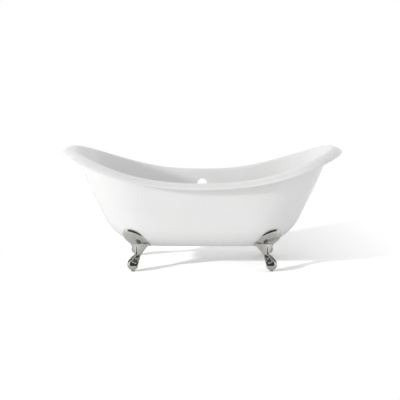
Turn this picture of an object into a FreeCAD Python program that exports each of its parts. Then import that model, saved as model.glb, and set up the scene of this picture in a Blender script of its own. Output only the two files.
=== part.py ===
"""Double-ended cast bathtub on four ball feet, in millimetres, +Z up.

The origin is on the floor under the middle of the tub. X runs along the tub, Y across it.
The tub is one single-walled casting with a rolled rim. Each foot is held to a lug under the
tub by a stud, a washer and a nut, and stands on a levelling screw with a pad.
"""
import FreeCAD, Part
import math
import os

import Sketcher
from FreeCAD import Placement, Rotation, Vector

DRIVING = {
    # The tub as a whole: over the lips, to the ridge of the rim and to the underside
    "tub_length": 1800,
    "tub_width": 772,
    "rim_end_height": 770,
    "rim_middle_height": 578,
    "underside_height": 139,
    "wall": 8,
    # The walls: lean from upright in degrees, curves into the floor, swell of the ends
    "end_lean": 24,
    "side_lean": 9,
    "end_bottom_radius": 310,
    "side_bottom_radius": 160,
    "end_belly": 5,
    # The round ends seen from above, at the rim and at the floor
    "rim_end_rounding": 470,
    "floor_end_rounding": 120,
    "end_fullness": 2.1,
    # The rim's line from the middle to the ends: how late it climbs, and how it eases off
    "rim_climb_power": 2.4,
    "rim_climb_easing": 0.32,
    # The rolled rim: a tight turn over the top, then a wide one outwards
    "roll_top_radius": 22,
    "roll_outer_radius": 78,
    "roll_turn": 48,
    # Holes for the waste, from the flat floor's rear edge, and for the overflow, from the rim
    "drain_inset": 52,
    "drain_radius": 26,
    "drain_seat_radius": 37.5,
    "drain_seat_depth": 3,
    "overflow_radius": 31.75,
    "overflow_drop": 95,
    # Where the feet stand, past the edges of the flat floor, and how far they turn to the side
    "foot_past_floor_end": 86,
    "foot_past_floor_side": 131,
    "foot_turn": 60,
    "foot_clearance": 0.4,
    # The ball, with its centre this far above its flat base
    "ball_radius": 32,
    "ball_lift": 28,
    # The leg: a rounded palm over the ball, and a neck that fans out upwards
    "palm_half_length": 46,
    "palm_radius": 30,
    "neck_drop": 52,
    "neck_setback": 58,
    "neck_radius": 17,
    "fan_lift": 26,
    "fan_setback": 95,
    "fan_half_width": 74,
    "fan_half_depth": 27,
    # The domed shield on the tub's corner, tilted down from facing outwards
    "shield_half_height": 80,
    "shield_half_width": 88,
    "shield_rise": 34,
    "shield_wall": 9,
    "shield_lift": 75,
    "shield_setback": 27,
    "shield_tilt": 40,
    # The fixing between foot and tub
    "lug_radius": 16,
    "lug_face_lift": 11,
    "lug_clearance": 1.5,
    "web_radius": 18,
    "web_thickness": 8,
    "stud_setback": 100,
    "stud_radius": 5,
    "stud_depth": 14,
    "stud_tail": 3,
    "thread_clearance": 0.1,
    "stud_hole_clearance": 0.4,
    "washer_radius": 10,
    "washer_thickness": 2,
    "nut_across_flats": 17,
    "nut_height": 8,
    "wrench_radius": 13,
    # The levelling screw and its pad
    "screw_radius": 5,
    "screw_length": 36,
    "screw_clearance": 0.1,
    "screw_head_radius": 11,
    "screw_head_height": 5,
    "spigot_radius": 4,
    "spigot_length": 3,
    "pad_radius": 12,
    "pad_height": 5,
    "edge_chamfer": 1,
}

# Sizes that follow from the driving ones, in an order where each uses only earlier ones
FOLLOWING = {
    "roll_reach": "roll_outer_radius * sin(roll_turn)",
    "ridge_half_length": "tub_length / 2 - roll_reach",
    "ridge_half_width": "tub_width / 2 - roll_reach",
    "end_rise": "rim_end_height - roll_top_radius - underside_height - end_bottom_radius",
    "side_rise": "rim_middle_height - roll_top_radius - underside_height - side_bottom_radius",
    "end_spread": "roll_top_radius - wall + end_bottom_radius + end_rise * sin(end_lean)",
    "side_spread": "roll_top_radius - wall + side_bottom_radius + side_rise * sin(side_lean)",
    "floor_half_length": "ridge_half_length - end_spread / cos(end_lean)",
    "floor_half_width": "ridge_half_width - side_spread / cos(side_lean)",
    "drain_offset": "floor_half_width - drain_inset",
    "overflow_height": "rim_middle_height - overflow_drop",
    "foot_along": "floor_half_length + foot_past_floor_end",
    "foot_across": "floor_half_width + foot_past_floor_side",
    "stud_along": "foot_along - stud_setback * cos(foot_turn)",
    "stud_across": "foot_across - stud_setback * sin(foot_turn)",
    "ball_flat_height": "pad_height + screw_head_height",
    "ball_height": "ball_flat_height + ball_lift",
    "neck_height": "underside_height - neck_drop",
    "palm_tilt": "atan(neck_setback / (neck_height - ball_height))",
    "fan_height": "underside_height + fan_lift",
    "shield_height": "underside_height + shield_lift",
    "lug_face_height": "underside_height + lug_face_lift",
    "web_bottom_height": "lug_face_height - web_thickness",
    "nut_top_height": "web_bottom_height - washer_thickness",
    "nut_bottom_height": "nut_top_height - nut_height",
    "stud_hole_radius": "stud_radius + stud_hole_clearance",
    "thread_hole_radius": "stud_radius + thread_clearance",
}

# How finely the tub's surfaces are sampled
SIDE_STEPS = 5
END_STEPS = 9
BOTTOM_STEPS = 7
WALL_STEPS = 9
ROLL_TOP_STEPS = 3
ROLL_OUTER_STEPS = 4
# How many wall steps the plain solid of the tub's lower body takes, and how far its top closes
HULL_WALL_STEPS = 5
HULL_CLOSING = 0.6

# Stations of the leg, shares of the way from neck to fan, and how its outline curves
FAN_SHARES = (1, 0.75, 0.5, 0.25, 0)
FAN_POWER = 1.15
LEG_FLATNESS = 0.92
# Shares of the way from neck to ball: the palm's middle, and the leg's hidden lower end in it
PALM_SHARE = 0.58
HEEL_SHARE = 0.25
HEEL_SIZE = 0.85
# The fan's hidden top, inside the shield: rise in shield rises, size and setback in fan sizes
CREST_RISE = 0.9
CREST_SIZE = 0.75
CREST_SETBACK = 0.7

CORNERS = {
    "front_left": (-1, -1),
    "front_right": (1, -1),
    "rear_left": (-1, 1),
    "rear_right": (1, 1),
}

doc = FreeCAD.newDocument("bathtub")
sheet = doc.addObject("Spreadsheet::Sheet", "dims")


def fill_sheet():
    cells = [(alias, str(value)) for alias, value in DRIVING.items()]
    cells += [(alias, f"={formula}") for alias, formula in FOLLOWING.items()]
    for row, (alias, content) in enumerate(cells, start=1):
        sheet.set(f"A{row}", alias)
        sheet.set(f"B{row}", content)
        sheet.setAlias(f"B{row}", alias)
    doc.recompute()


fill_sheet()


def size(alias):
    """The value of one cell of the sheet."""
    return float(sheet.get(alias))


def bind(item, **expressions):
    """Tie properties of an object to the sheet. Two underscores in a name stand for a dot."""
    for name, expression in expressions.items():
        item.setExpression(name.replace("__", "."), expression)


# The tub's surfaces


class Profile:
    """The wall's outline in one upright plane, from the edge of the flat floor to the lip.

    inset is the depth of a surface below the tub's outside: 0 is the outside, the wall's
    thickness is the inside. Each point is (reach from the middle, height).
    """

    def __init__(self, name, rim_height, floor, ridge, belly):
        self.lean = math.radians(size(f"{name}_lean"))
        self.bottom_radius = size(f"{name}_bottom_radius")
        self.rim_height = rim_height
        self.floor = floor
        self.ridge = ridge
        self.belly = belly
        self.wall = size("wall")
        self.top_radius = size("roll_top_radius")
        self.outer_radius = size("roll_outer_radius")
        self.turn = math.radians(size("roll_turn"))
        self.bottom_centre = size("underside_height") + self.bottom_radius

    def bottom(self, inset):
        radius = self.bottom_radius - inset
        points = []
        for step in range(BOTTOM_STEPS + 1):
            angle = (math.pi / 2 - self.lean) * step / BOTTOM_STEPS
            reach = self.floor + radius * math.sin(angle)
            points.append((reach, self.bottom_centre - radius * math.cos(angle)))
        return points

    def walls(self, inset):
        """Steps from above the bottom curve to below the roll, closer together at both ends."""
        low_reach, low = self.bottom(inset)[-1]
        high_reach, high = self.roll_top(inset)[0]
        points = []
        for step in range(1, WALL_STEPS):
            share = (1 - math.cos(math.pi * step / WALL_STEPS)) / 2
            swell = self.belly * math.sin(math.pi * share) ** 2
            reach = low_reach + (high_reach - low_reach) * share + swell * math.cos(self.lean)
            points.append((reach, low + (high - low) * share - swell * math.sin(self.lean)))
        return points

    def roll_top(self, inset):
        radius = self.top_radius - self.wall + inset
        points = []
        for step in range(ROLL_TOP_STEPS + 1):
            angle = (math.pi / 2 - self.lean) * (1 - step / ROLL_TOP_STEPS)
            reach = self.ridge - radius * math.sin(angle)
            points.append((reach, self.rim_height - self.top_radius + radius * math.cos(angle)))
        return points

    def roll_outer(self, inset):
        radius = self.outer_radius - self.wall + inset
        angles = [self.turn * step / ROLL_OUTER_STEPS for step in range(1, ROLL_OUTER_STEPS + 1)]
        return [self.roll_point(radius, angle) for angle in angles]

    def roll_point(self, radius, angle):
        height = self.rim_height - self.outer_radius + radius * math.cos(angle)
        return (self.ridge + radius * math.sin(angle), height)

    def nose(self):
        """The middle of the lip's rounded edge."""
        reach, height = self.roll_point(self.outer_radius - self.wall / 2, self.turn)
        bulge = self.wall / 2
        return (reach + bulge * math.cos(self.turn), height - bulge * math.sin(self.turn))


end_profile = Profile(
    "end", size("rim_end_height"), size("floor_half_length"), size("ridge_half_length"), size("end_belly")
)
side_profile = Profile(
    "side", size("rim_middle_height"), size("floor_half_width"), size("ridge_half_width"), 0
)


def quarter_outline():
    """Shares (straight, round along, round across) from an end's tip to the middle of a side."""
    fullness = size("end_fullness")
    shares = []
    for step in range(END_STEPS + 1):
        angle = math.pi / 2 * step / END_STEPS
        along, across = math.cos(angle), math.sin(angle)
        scale = (along**fullness + across**fullness) ** (-1 / fullness)
        shares.append((1.0, scale * along, scale * across))
    for step in range(1, SIDE_STEPS + 1):
        shares.append((1 - step / SIDE_STEPS, 0.0, 1.0))
    return shares


def full_outline():
    """The same shares with their signs for the whole turn, without repeated points."""
    quarter = quarter_outline()
    back = quarter[-2::-1]
    turn = [(share, 1, 1) for share in quarter]
    turn += [(share, -1, 1) for share in back]
    turn += [(share, -1, -1) for share in quarter[1:]]
    turn += [(share, 1, -1) for share in back[:-1]]
    return turn


OUTLINE = full_outline()


def rounding_at(reach):
    """Length of the rounded end where the end wall has this reach."""
    rim_rounding = size("rim_end_rounding")
    roll_start = end_profile.roll_top(0)[0][0]
    if reach >= roll_start:
        return rim_rounding + reach - end_profile.ridge
    low = size("floor_end_rounding")
    high = rim_rounding + roll_start - end_profile.ridge
    return low + (high - low) * (reach - end_profile.floor) / (roll_start - end_profile.floor)


def climb_share(share):
    """How much of the rise from side to end is reached at this share of the half length."""
    power = size("rim_climb_power")
    easing = size("rim_climb_easing")
    return (1 + easing) * share**power - easing * share ** (2 * power)


def ring_points(end_point, side_point):
    """Points round the tub at one station of its two profiles."""
    reach, end_height = end_point
    half_width, side_height = side_point
    rounding = rounding_at(reach)
    flare = math.tan(side_profile.lean)
    points = []
    for (straight, along, across), sign_x, sign_y in OUTLINE:
        x = (reach - rounding) * straight + rounding * along
        climb = (end_height - side_height) * climb_share(x / reach)
        y = (half_width + flare * climb) * across
        points.append(Vector(sign_x * x, sign_y * y, side_height + climb))
    return points


def outline_parameters():
    """Curve parameters shared by all rings, from the spacing of the rim's points."""
    points = ring_points(end_profile.roll_top(0)[-1], side_profile.roll_top(0)[-1])
    values = [0.0]
    for index, point in enumerate(points):
        following = points[(index + 1) % len(points)]
        values.append(values[-1] + point.distanceToPoint(following))
    return values


RING_PARAMETERS = outline_parameters()


def ring(end_point, side_point):
    """A smooth closed curve round the tub."""
    curve = Part.BSplineCurve()
    points = ring_points(end_point, side_point)
    curve.interpolate(points, PeriodicFlag=True, Parameters=RING_PARAMETERS)
    return curve


def rings(inset, *stretches):
    """Closed curves round the tub through the named stretches of its profiles."""
    curves = []
    for stretch in stretches:
        end_points = getattr(end_profile, stretch)(inset)
        side_points = getattr(side_profile, stretch)(inset)
        curves += [ring(end, side) for end, side in zip(end_points, side_points)]
    return curves


def skin(curves):
    """One smooth face through closed curves, spaced by the mean distance between them."""
    count = curves[0].NbPoles
    columns = [[curve.getPole(index + 1) for curve in curves] for index in range(count)]
    spacing = [0.0]
    for row in range(1, len(curves)):
        gaps = [column[row].distanceToPoint(column[row - 1]) for column in columns]
        spacing.append(spacing[-1] + sum(gaps) / count)
    upright = []
    for column in columns:
        line = Part.BSplineCurve()
        line.interpolate(column, Parameters=spacing)
        upright.append(line)
    surface = Part.BSplineSurface()
    surface.buildFromPolesMultsKnots(
        [line.getPoles() for line in upright],
        curves[0].getMultiplicities(),
        upright[0].getMultiplicities(),
        curves[0].getKnots(),
        upright[0].getKnots(),
        True,
        False,
        curves[0].Degree,
        upright[0].Degree,
    )
    return surface.toShape()


def level_face(curve):
    return Part.Face(Part.Wire(curve.toShape()))


def closed_solid(faces):
    shell = Part.Shell(faces)
    shell.sewShape()
    solid = Part.Solid(shell)
    if solid.Volume < 0:
        solid.reverse()
    return solid


def casting_shape():
    stretches = ("bottom", "walls", "roll_top", "roll_outer")
    inside = rings(size("wall"), *stretches)
    outside = rings(0, *stretches)
    lip = [inside[-1], ring(end_profile.nose(), side_profile.nose()), outside[-1]]
    faces = [level_face(inside[0]), level_face(outside[0])]
    faces += [skin(curves) for curves in (inside, lip, outside)]
    return closed_solid(faces)


def hull_shape(inset):
    """The tub's lower body filled solid, up to part of the wall's height."""
    curves = rings(inset, "bottom", "walls")[: BOTTOM_STEPS + 1 + HULL_WALL_STEPS]
    reach, height = end_profile.walls(inset)[HULL_WALL_STEPS - 1]
    half_width = side_profile.walls(inset)[HULL_WALL_STEPS - 1][0]
    curves.append(ring((reach * HULL_CLOSING, height), (half_width * HULL_CLOSING, height)))
    return closed_solid([level_face(curves[0]), skin(curves), level_face(curves[-1])])


# Small makers of document objects


def feature(name, shape, placement):
    item = doc.addObject("Part::Feature", name)
    item.Shape = shape
    item.Placement = placement
    return item


def cylinder(name, radius, height, **place):
    item = doc.addObject("Part::Cylinder", name)
    bind(item, Radius=radius, Height=height, **place)
    return item


def fuse(name, shapes):
    item = doc.addObject("Part::MultiFuse", name)
    item.Shapes = shapes
    return item


def cut(name, base, tools):
    item = doc.addObject("Part::Cut", name)
    item.Base = base
    item.Tool = fuse(f"{name}_tools", tools) if len(tools) > 1 else tools[0]
    return item


def mirrored(name, source, normal):
    item = doc.addObject("Part::Mirroring", name)
    item.Source = source
    item.Normal = normal
    return item


def foot_place(signs, height="0"):
    """Under the ball at one corner."""
    return {
        "Placement__Base__x": f"{signs[0]} * dims.foot_along",
        "Placement__Base__y": f"{signs[1]} * dims.foot_across",
        "Placement__Base__z": height,
    }


def stud_place(signs, height):
    """On the axis of the stud at one corner."""
    return {
        "Placement__Base__x": f"{signs[0]} * dims.stud_along",
        "Placement__Base__y": f"{signs[1]} * dims.stud_across",
        "Placement__Base__z": height,
    }


# The tub with its lugs and holes


def overflow_placement():
    """Square to the rear wall, starting one hole radius inside its outer face."""
    low_reach, low = side_profile.bottom(0)[-1]
    height = size("overflow_height")
    reach = low_reach + (height - low) * math.tan(side_profile.lean)
    outward = Vector(0, math.cos(side_profile.lean), -math.sin(side_profile.lean))
    start = Vector(0, reach, height) - outward * size("overflow_radius")
    return Placement(start, Rotation(Vector(0, 0, 1), outward))


def make_lug(corner, signs, limit):
    """A round lug from its level face up into the tub's wall."""
    place = stud_place(signs, "dims.lug_face_height")
    post = cylinder(f"lug_post_{corner}", "dims.lug_radius", "dims.end_bottom_radius", **place)
    return cut(f"lug_{corner}", post, [limit])


def make_stud_hole(corner, signs):
    place = stud_place(signs, "dims.lug_face_height")
    depth = "dims.stud_depth + dims.edge_chamfer"
    return cylinder(f"stud_hole_{corner}", "dims.thread_hole_radius", depth, **place)


def make_drain_holes():
    through = cylinder(
        "drain_hole",
        "dims.drain_radius",
        "3 * dims.wall",
        Placement__Base__y="dims.drain_offset",
        Placement__Base__z="dims.underside_height - dims.wall",
    )
    seat = cylinder(
        "drain_seat",
        "dims.drain_seat_radius",
        "dims.drain_seat_depth + dims.wall",
        Placement__Base__y="dims.drain_offset",
        Placement__Base__z="dims.underside_height + dims.wall - dims.drain_seat_depth",
    )
    return [through, seat]


def make_tub():
    casting = feature("tub_casting", casting_shape(), Placement())
    lug_limit = feature("lug_limit", hull_shape(size("wall") / 2), Placement())
    lugs = [make_lug(corner, signs, lug_limit) for corner, signs in CORNERS.items()]
    holes = [make_stud_hole(corner, signs) for corner, signs in CORNERS.items()]
    overflow = cylinder("overflow_hole", "dims.overflow_radius", "2 * dims.overflow_radius")
    overflow.Placement = overflow_placement()
    body = fuse("tub_body", [casting] + lugs)
    return cut("tub_shell", body, holes + make_drain_holes() + [overflow])


# One foot, in its own frame: the origin is under the ball, +X points away from the tub


def leg_section(name, height, setback, half_width, half_depth):
    """A level ellipse whose long axis runs across the foot."""
    item = doc.addObject("Part::Ellipse", name)
    item.Placement = Placement(Vector(), Rotation(Vector(0, 0, 1), 90))
    bind(
        item,
        MajorRadius=half_width,
        MinorRadius=half_depth,
        Placement__Base__x=f"-({setback})",
        Placement__Base__z=height,
    )
    return item


def between(low, high, share, power=1):
    """Expression for a size part of the way from one named size to another."""
    return f"dims.{low} + (dims.{high} - dims.{low}) * {share} ^ {power}"


def fan_crest_section():
    return leg_section(
        "fan_crest",
        f"dims.fan_height + dims.shield_rise * {CREST_RISE}",
        f"dims.fan_setback * {CREST_SETBACK}",
        f"dims.fan_half_width * {CREST_SIZE}",
        f"dims.fan_half_depth * {CREST_SIZE}",
    )


def fan_section(index, share):
    neck_depth = f"dims.neck_radius * {LEG_FLATNESS}"
    return leg_section(
        f"fan_section_{index}",
        between("neck_height", "fan_height", share),
        between("neck_setback", "fan_setback", share),
        between("neck_radius", "fan_half_width", share, FAN_POWER),
        f"{neck_depth} + (dims.fan_half_depth - {neck_depth}) * {share}",
    )


def towards_ball(share):
    """Expressions for setback and height part of the way from neck to ball."""
    return f"dims.neck_setback * (1 - {share})", between("neck_height", "ball_height", share)


def heel_section():
    setback, height = towards_ball(HEEL_SHARE)
    half_width = f"dims.neck_radius * {HEEL_SIZE}"
    return leg_section(
        "heel",
        height,
        setback,
        half_width,
        f"{half_width} * {LEG_FLATNESS}",
    )


def make_leg():
    fan = [fan_section(index, share) for index, share in enumerate(FAN_SHARES)]
    leg = doc.addObject("Part::Loft", "leg")
    leg.Sections = [fan_crest_section()] + fan + [heel_section()]
    leg.Solid = True
    return leg


def ellipsoid(name, radii, lean, setback, height):
    """On the foot's middle plane, with its first axis leaning forward from upright."""
    item = doc.addObject("Part::Ellipsoid", name)
    item.Angle1 = -90
    item.Placement = Placement(Vector(), Rotation(Vector(0, 1, 0), 90))
    bind(
        item,
        Radius1=radii[0],
        Radius2=radii[1],
        Radius3=radii[2],
        Placement__Rotation__Angle=lean,
        Placement__Base__x=f"-({setback})",
        Placement__Base__z=height,
    )
    return item


def dome(name, margin):
    """The shield's outside or hollow. Its short axis points out of the tub's corner and down."""
    names = ("shield_rise", "shield_half_height", "shield_half_width")
    radii = [f"dims.{alias} - {margin}" for alias in names]
    return ellipsoid(name, radii, "90 + dims.shield_tilt", "dims.shield_setback", "dims.shield_height")


def make_palm():
    """Its long axis runs from the ball up to the neck."""
    radii = ("dims.palm_half_length", "dims.palm_radius", "dims.palm_radius")
    return ellipsoid("palm", radii, "180 deg - dims.palm_tilt", *towards_ball(PALM_SHARE))


def behind(height):
    """On the stud's axis in the foot's own frame."""
    return {"Placement__Base__x": "-dims.stud_setback", "Placement__Base__z": height}


def make_web():
    """The level tab that the stud passes through, joined to the back of the fan."""
    bottom = "dims.web_bottom_height"
    tab = cylinder("web_tab", "dims.web_radius", "dims.web_thickness", **behind(bottom))
    bridge = doc.addObject("Part::Box", "web_bridge")
    bind(
        bridge,
        Length="dims.fan_half_depth",
        Width="2 * dims.web_radius",
        Height="dims.web_thickness",
        Placement__Base__y="-dims.web_radius",
        **behind(bottom),
    )
    return [tab, bridge]


def make_ball():
    ball = doc.addObject("Part::Sphere", "ball")
    bind(ball, Radius="dims.ball_radius", Placement__Base__z="dims.ball_height")
    return ball


def foot_frame():
    """Place of the foot at the front left corner of the tub."""
    turn = Rotation(Vector(0, 0, 1), 180 + size("foot_turn"))
    return Placement(Vector(-size("foot_along"), -size("foot_across"), 0), turn)


def foot_cuts():
    """What is taken from a foot: the tub, the hollow back, and room for the fixings."""
    lug_room = "dims.lug_radius + dims.lug_clearance"
    passage_low = "dims.web_bottom_height - dims.web_thickness"
    wrench_low = "dims.web_bottom_height - dims.neck_height"
    screw_hole = "dims.screw_radius + dims.screw_clearance"
    return [
        feature("tub_outside", hull_shape(-size("foot_clearance")), foot_frame().inverse()),
        dome("shield_hollow", "dims.shield_wall"),
        cylinder("lug_pocket", lug_room, "dims.shield_height", **behind("dims.lug_face_height")),
        cylinder("stud_passage", "dims.stud_hole_radius", "3 * dims.web_thickness", **behind(passage_low)),
        cylinder("wrench_pocket", "dims.wrench_radius", "dims.neck_height", **behind(wrench_low)),
        cylinder("ball_base", "dims.ball_radius", "dims.ball_flat_height"),
        cylinder(
            "screw_hole",
            screw_hole,
            "dims.screw_length + 2 * dims.edge_chamfer",
            Placement__Base__z="dims.ball_flat_height",
        ),
    ]


def make_feet():
    """The front left foot, and its mirror images at the other corners."""
    castings = [dome("shield", "0"), make_leg(), make_palm(), make_ball()]
    solid = fuse("foot_solid", castings + make_web())
    front_left = cut("claw_foot_front_left", solid, foot_cuts())
    front_left.Placement = foot_frame()
    front_right = mirrored("claw_foot_front_right", front_left, Vector(1, 0, 0))
    rear_left = mirrored("claw_foot_rear_left", front_left, Vector(0, 1, 0))
    rear_right = mirrored("claw_foot_rear_right", front_right, Vector(0, 1, 0))
    return [front_left, front_right, rear_left, rear_right]


# Turned pieces and nuts


def turned_body(name, profile, place):
    """A body turned about its own upright axis. profile holds (radius, height) expressions."""
    body = doc.addObject("PartDesign::Body", name)
    sketch = body.newObject("Sketcher::SketchObject", f"{name}_profile")
    plane = next(item for item in body.Origin.OriginFeatures if item.Role == "XZ_Plane")
    sketch.AttachmentSupport = [(plane, "")]
    sketch.MapMode = "FlatFace"
    points = [
        Vector(float(sheet.evalExpression(radius)), float(sheet.evalExpression(height)), 0)
        for radius, height in profile
    ]
    count = len(points)
    for index in range(count):
        sketch.addGeometry(Part.LineSegment(points[index], points[(index + 1) % count]))
    for index in range(count):
        sketch.addConstraint(Sketcher.Constraint("Coincident", index, 2, (index + 1) % count, 1))
    for index, expressions in enumerate(profile):
        for kind, value, expression in zip(("DistanceX", "DistanceY"), points[index], expressions):
            number = sketch.addConstraint(Sketcher.Constraint(kind, -1, 1, index, 1, value))
            sketch.setExpression(f"Constraints[{number}]", expression)
    turning = body.newObject("PartDesign::Revolution", f"{name}_turning")
    turning.Profile = sketch
    turning.ReferenceAxis = (sketch, ["V_Axis"])
    turning.Angle = 360
    bind(body, **place)
    return body


def make_stud(corner, signs):
    """Its zero height is the lug's face."""
    tip = "dims.stud_radius - dims.edge_chamfer"
    bottom = "dims.nut_bottom_height - dims.lug_face_height - dims.stud_tail"
    profile = [
        ("0", bottom),
        (tip, bottom),
        ("dims.stud_radius", f"{bottom} + dims.edge_chamfer"),
        ("dims.stud_radius", "dims.stud_depth - dims.edge_chamfer"),
        (tip, "dims.stud_depth"),
        ("0", "dims.stud_depth"),
    ]
    return turned_body(f"foot_stud_{corner}", profile, stud_place(signs, "dims.lug_face_height"))


def make_washer(corner, signs):
    profile = [
        ("dims.stud_hole_radius", "0"),
        ("dims.washer_radius", "0"),
        ("dims.washer_radius", "dims.washer_thickness"),
        ("dims.stud_hole_radius", "dims.washer_thickness"),
    ]
    return turned_body(f"foot_washer_{corner}", profile, stud_place(signs, "dims.nut_top_height"))


def make_nut(corner, signs):
    place = stud_place(signs, "dims.nut_bottom_height")
    block = doc.addObject("Part::Prism", f"nut_block_{corner}")
    block.Polygon = 6
    bind(block, Circumradius="dims.nut_across_flats / 2 / cos(30)", Height="dims.nut_height", **place)
    thread = cylinder(f"nut_thread_{corner}", "dims.thread_hole_radius", "dims.nut_height", **place)
    return cut(f"foot_nut_{corner}", block, [thread])


def make_levelling_screw(corner, signs):
    """Its zero height is the flat base of the ball."""
    seat = "-dims.screw_head_height"
    tip = f"{seat} - dims.spigot_length"
    profile = [
        ("0", tip),
        ("dims.spigot_radius", tip),
        ("dims.spigot_radius", seat),
        ("dims.screw_head_radius", seat),
        ("dims.screw_head_radius", "0"),
        ("dims.screw_radius", "0"),
        ("dims.screw_radius", "dims.screw_length - dims.edge_chamfer"),
        ("dims.screw_radius - dims.edge_chamfer", "dims.screw_length"),
        ("0", "dims.screw_length"),
    ]
    return turned_body(f"levelling_screw_{corner}", profile, foot_place(signs, "dims.ball_flat_height"))


def make_glide_pad(corner, signs):
    recess = "dims.spigot_radius + dims.thread_clearance"
    recess_floor = "dims.pad_height - dims.spigot_length"
    profile = [
        ("0", "0"),
        ("dims.pad_radius - dims.edge_chamfer", "0"),
        ("dims.pad_radius", "dims.edge_chamfer"),
        ("dims.pad_radius", "dims.pad_height"),
        (recess, "dims.pad_height"),
        (recess, recess_floor),
        ("0", recess_floor),
    ]
    return turned_body(f"glide_pad_{corner}", profile, foot_place(signs))


def make_fixings():
    makers = (make_stud, make_washer, make_nut, make_levelling_screw, make_glide_pad)
    return [maker(corner, signs) for maker in makers for corner, signs in CORNERS.items()]


sub_parts = [make_tub()] + make_feet() + make_fixings()
doc.recompute()

failed = [item.Label for item in doc.Objects if {"Invalid", "Error"} & set(item.State)]
if failed:
    raise RuntimeError(f"These objects did not build: {failed}")
for item in sub_parts:
    if item.Shape.isNull() or not item.Shape.isValid() or len(item.Shape.Solids) != 1:
        raise RuntimeError(f"{item.Label} is not one good solid")

os.makedirs("parts", exist_ok=True)
for item in sub_parts:
    item.Shape.exportStep(f"parts/{item.Label}.step")
    print(f"{item.Label}: {item.Shape.Volume / 1000:.1f} cm3")
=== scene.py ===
"""Looks of the double-ended bathtub on its claw feet: enamel, polished nickel, studio and camera."""
import math

import bmesh
import bpy
from mathutils import Matrix, Vector
from mathutils.bvhtree import BVHTree


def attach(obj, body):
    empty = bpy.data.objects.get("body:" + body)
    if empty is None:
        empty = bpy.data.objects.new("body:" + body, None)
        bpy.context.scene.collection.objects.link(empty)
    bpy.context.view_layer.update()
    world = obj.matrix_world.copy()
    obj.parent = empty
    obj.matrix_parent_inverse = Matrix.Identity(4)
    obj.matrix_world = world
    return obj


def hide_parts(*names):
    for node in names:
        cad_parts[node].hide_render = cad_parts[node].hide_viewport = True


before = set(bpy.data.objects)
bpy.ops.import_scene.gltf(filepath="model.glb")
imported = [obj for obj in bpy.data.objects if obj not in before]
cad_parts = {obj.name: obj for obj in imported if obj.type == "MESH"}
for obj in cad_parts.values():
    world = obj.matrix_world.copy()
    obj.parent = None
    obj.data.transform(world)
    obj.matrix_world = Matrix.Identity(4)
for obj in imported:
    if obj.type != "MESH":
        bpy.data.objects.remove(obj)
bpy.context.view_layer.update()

# Sizes of the tub, in metres, as in the part's source
TUB_LENGTH = 1.8
TUB_WIDTH = 0.772
RIM_END = 0.77
RIM_MIDDLE = 0.578
UNDERSIDE = 0.139
WALL = 0.008
END_LEAN = math.radians(24)
SIDE_LEAN = math.radians(9)
END_BOTTOM_RADIUS = 0.31
SIDE_BOTTOM_RADIUS = 0.16
END_BELLY = 0.005
RIM_END_ROUNDING = 0.47
FLOOR_END_ROUNDING = 0.12
END_FULLNESS = 2.1
RIM_CLIMB_POWER = 2.4
RIM_CLIMB_EASING = 0.32
ROLL_TOP_RADIUS = 0.022
ROLL_OUTER_RADIUS = 0.078
ROLL_TURN = math.radians(48)
DRAIN_INSET = 0.052
DRAIN_RADIUS = 0.026
DRAIN_SEAT_RADIUS = 0.0375
DRAIN_SEAT_DEPTH = 0.003
OVERFLOW_RADIUS = 0.03175
OVERFLOW_DROP = 0.095

# The rounded edges of the tub's holes, in metres, and how far the middle of the rounding is tucked in
HOLE_ROUNDING = 0.0016
HOLE_TUCK = 0.3 * HOLE_ROUNDING
SEAT_TUCK = HOLE_ROUNDING / 3

# Sizes of a foot, in metres, in its own frame: the origin under the ball, +X away from the tub
FOOT_PAST_FLOOR_END = 0.086
FOOT_PAST_FLOOR_SIDE = 0.131
FOOT_TURN = math.radians(60)
FOOT_CLEARANCE = 0.0004
BALL_RADIUS = 0.032
BALL_WIDENING = 1.06
BALL_FLATTENING = 0.97
BALL_HEIGHT = 0.038
BALL_FLAT = 0.01
PALM_PLACE = 0.56
PALM_HALF_LENGTH = 0.045
PALM_RADIUS = 0.023
NECK_HEIGHT = 0.087
NECK_SETBACK = 0.058
NECK_RADIUS = 0.017
NECK_DEPTH = 0.0156
FAN_HEIGHT = 0.174
FAN_SETBACK = 0.095
FAN_HALF_WIDTH = 0.077
FAN_HALF_DEPTH = 0.027
FAN_POWER = 1.15
FAN_FRONT_SETBACK = 0.002
SHIELD_RISE = 0.0342
SHIELD_HALF_HEIGHT = 0.0864
SHIELD_HALF_WIDTH = 0.0801
SHIELD_HEIGHT = 0.2078
SHIELD_SETBACK = 0.0501
SHIELD_SHIFT = 0.0185
SHIELD_TILT = math.radians(44.2)
SHIELD_YAW = math.radians(-1.5)
STUD_SETBACK = 0.1
LUG_RADIUS = 0.016
LUG_BORE_RADIUS = 0.0051
LUG_EDGE = 0.001
LUG_FACE = 0.15
LUG_ROOM = 0.0175
WEB_BOTTOM = 0.142
WEB_RADIUS = 0.018
STUD_HOLE_RADIUS = 0.0054
STUD_HOLE_BOTTOM = WEB_BOTTOM - 0.02
WRENCH_RADIUS = 0.013
WRENCH_BOTTOM = NECK_HEIGHT * 0.5
BASE_CUT_RADIUS = BALL_RADIUS * 1.2
SCREW_RADIUS = 0.005
SCREW_HOLE_RADIUS = 0.0051
SCREW_LENGTH = 0.036
SCREW_TOP = BALL_FLAT + SCREW_LENGTH
SCREW_TIP_ROOM = 0.002
SCREW_EDGE = 0.0006
SCREW_END_RADIUS = 0.0001
SCREW_HEAD_RADIUS = 0.011
SCREW_HEAD_BOTTOM = 0.005
SPIGOT_RADIUS = 0.004
SPIGOT_BOTTOM = 0.002
THREAD_PITCH = 0.0015
THREAD_DEPTH = 0.0007

CORNERS = {
    "front_left": (-1, -1),
    "front_right": (1, -1),
    "rear_left": (-1, 1),
    "rear_right": (1, 1),
}

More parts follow.
